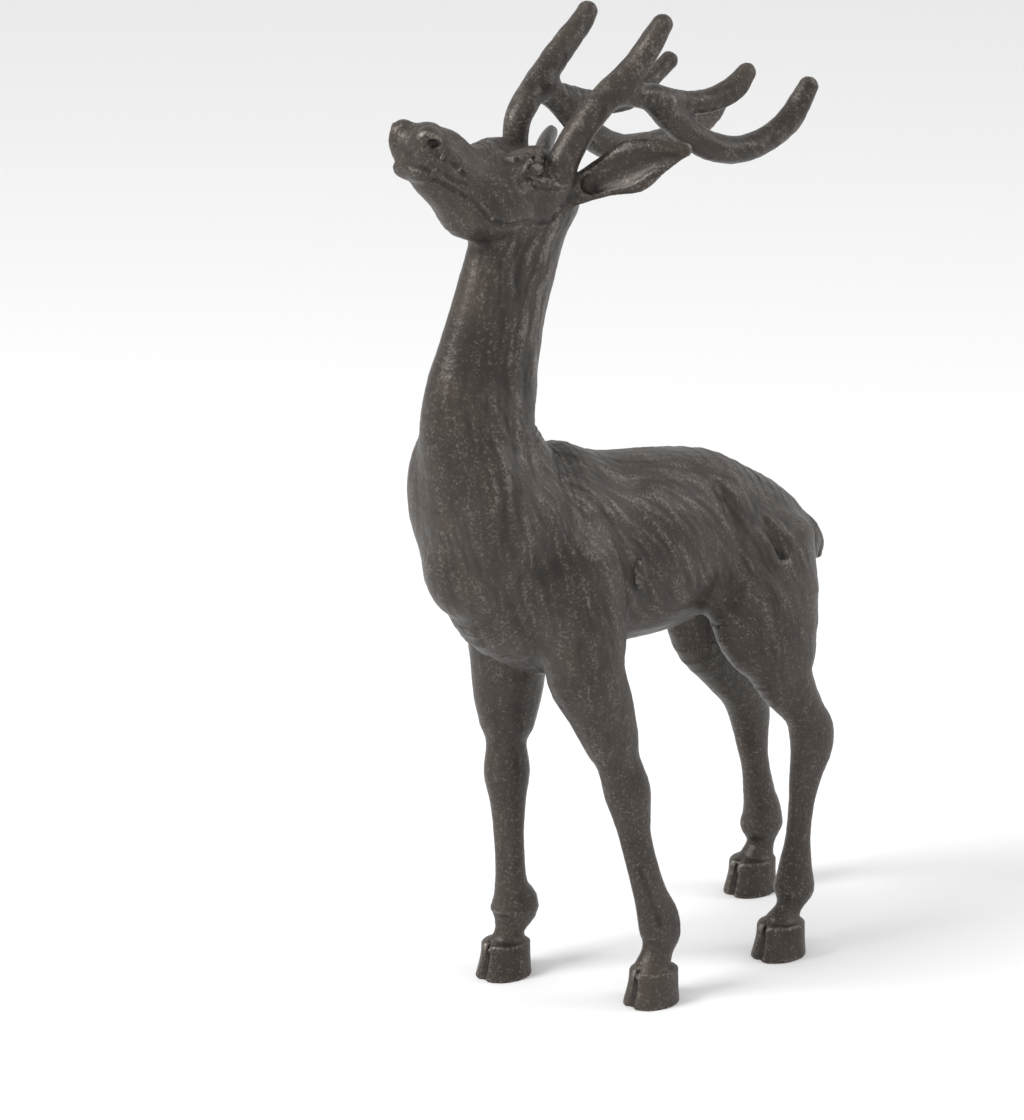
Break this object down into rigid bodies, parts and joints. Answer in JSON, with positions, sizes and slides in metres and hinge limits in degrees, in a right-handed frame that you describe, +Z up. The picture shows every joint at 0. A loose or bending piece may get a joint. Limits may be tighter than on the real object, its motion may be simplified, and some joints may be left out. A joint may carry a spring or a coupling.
{
  "type": "stag statue",
  "caption": "Cast iron stag standing with its muzzle lifted, branching antlers swept back, ears out and cloven hooves flat on the ground.",
  "frame": {"origin": "on the ground, under the middle of the casting's box", "axes": "+Z up, the stag faces -Y, its left side is +X"},
  "size_m": [0.13, 0.3206, 0.559],
  "materials": {
    "cast_iron": "dark brown semi-gloss paint over a pebbled, carved sand casting"
  },
  "bodies": {
    "root": {"stag": "cast_iron"}
  },
  "joints": []
}
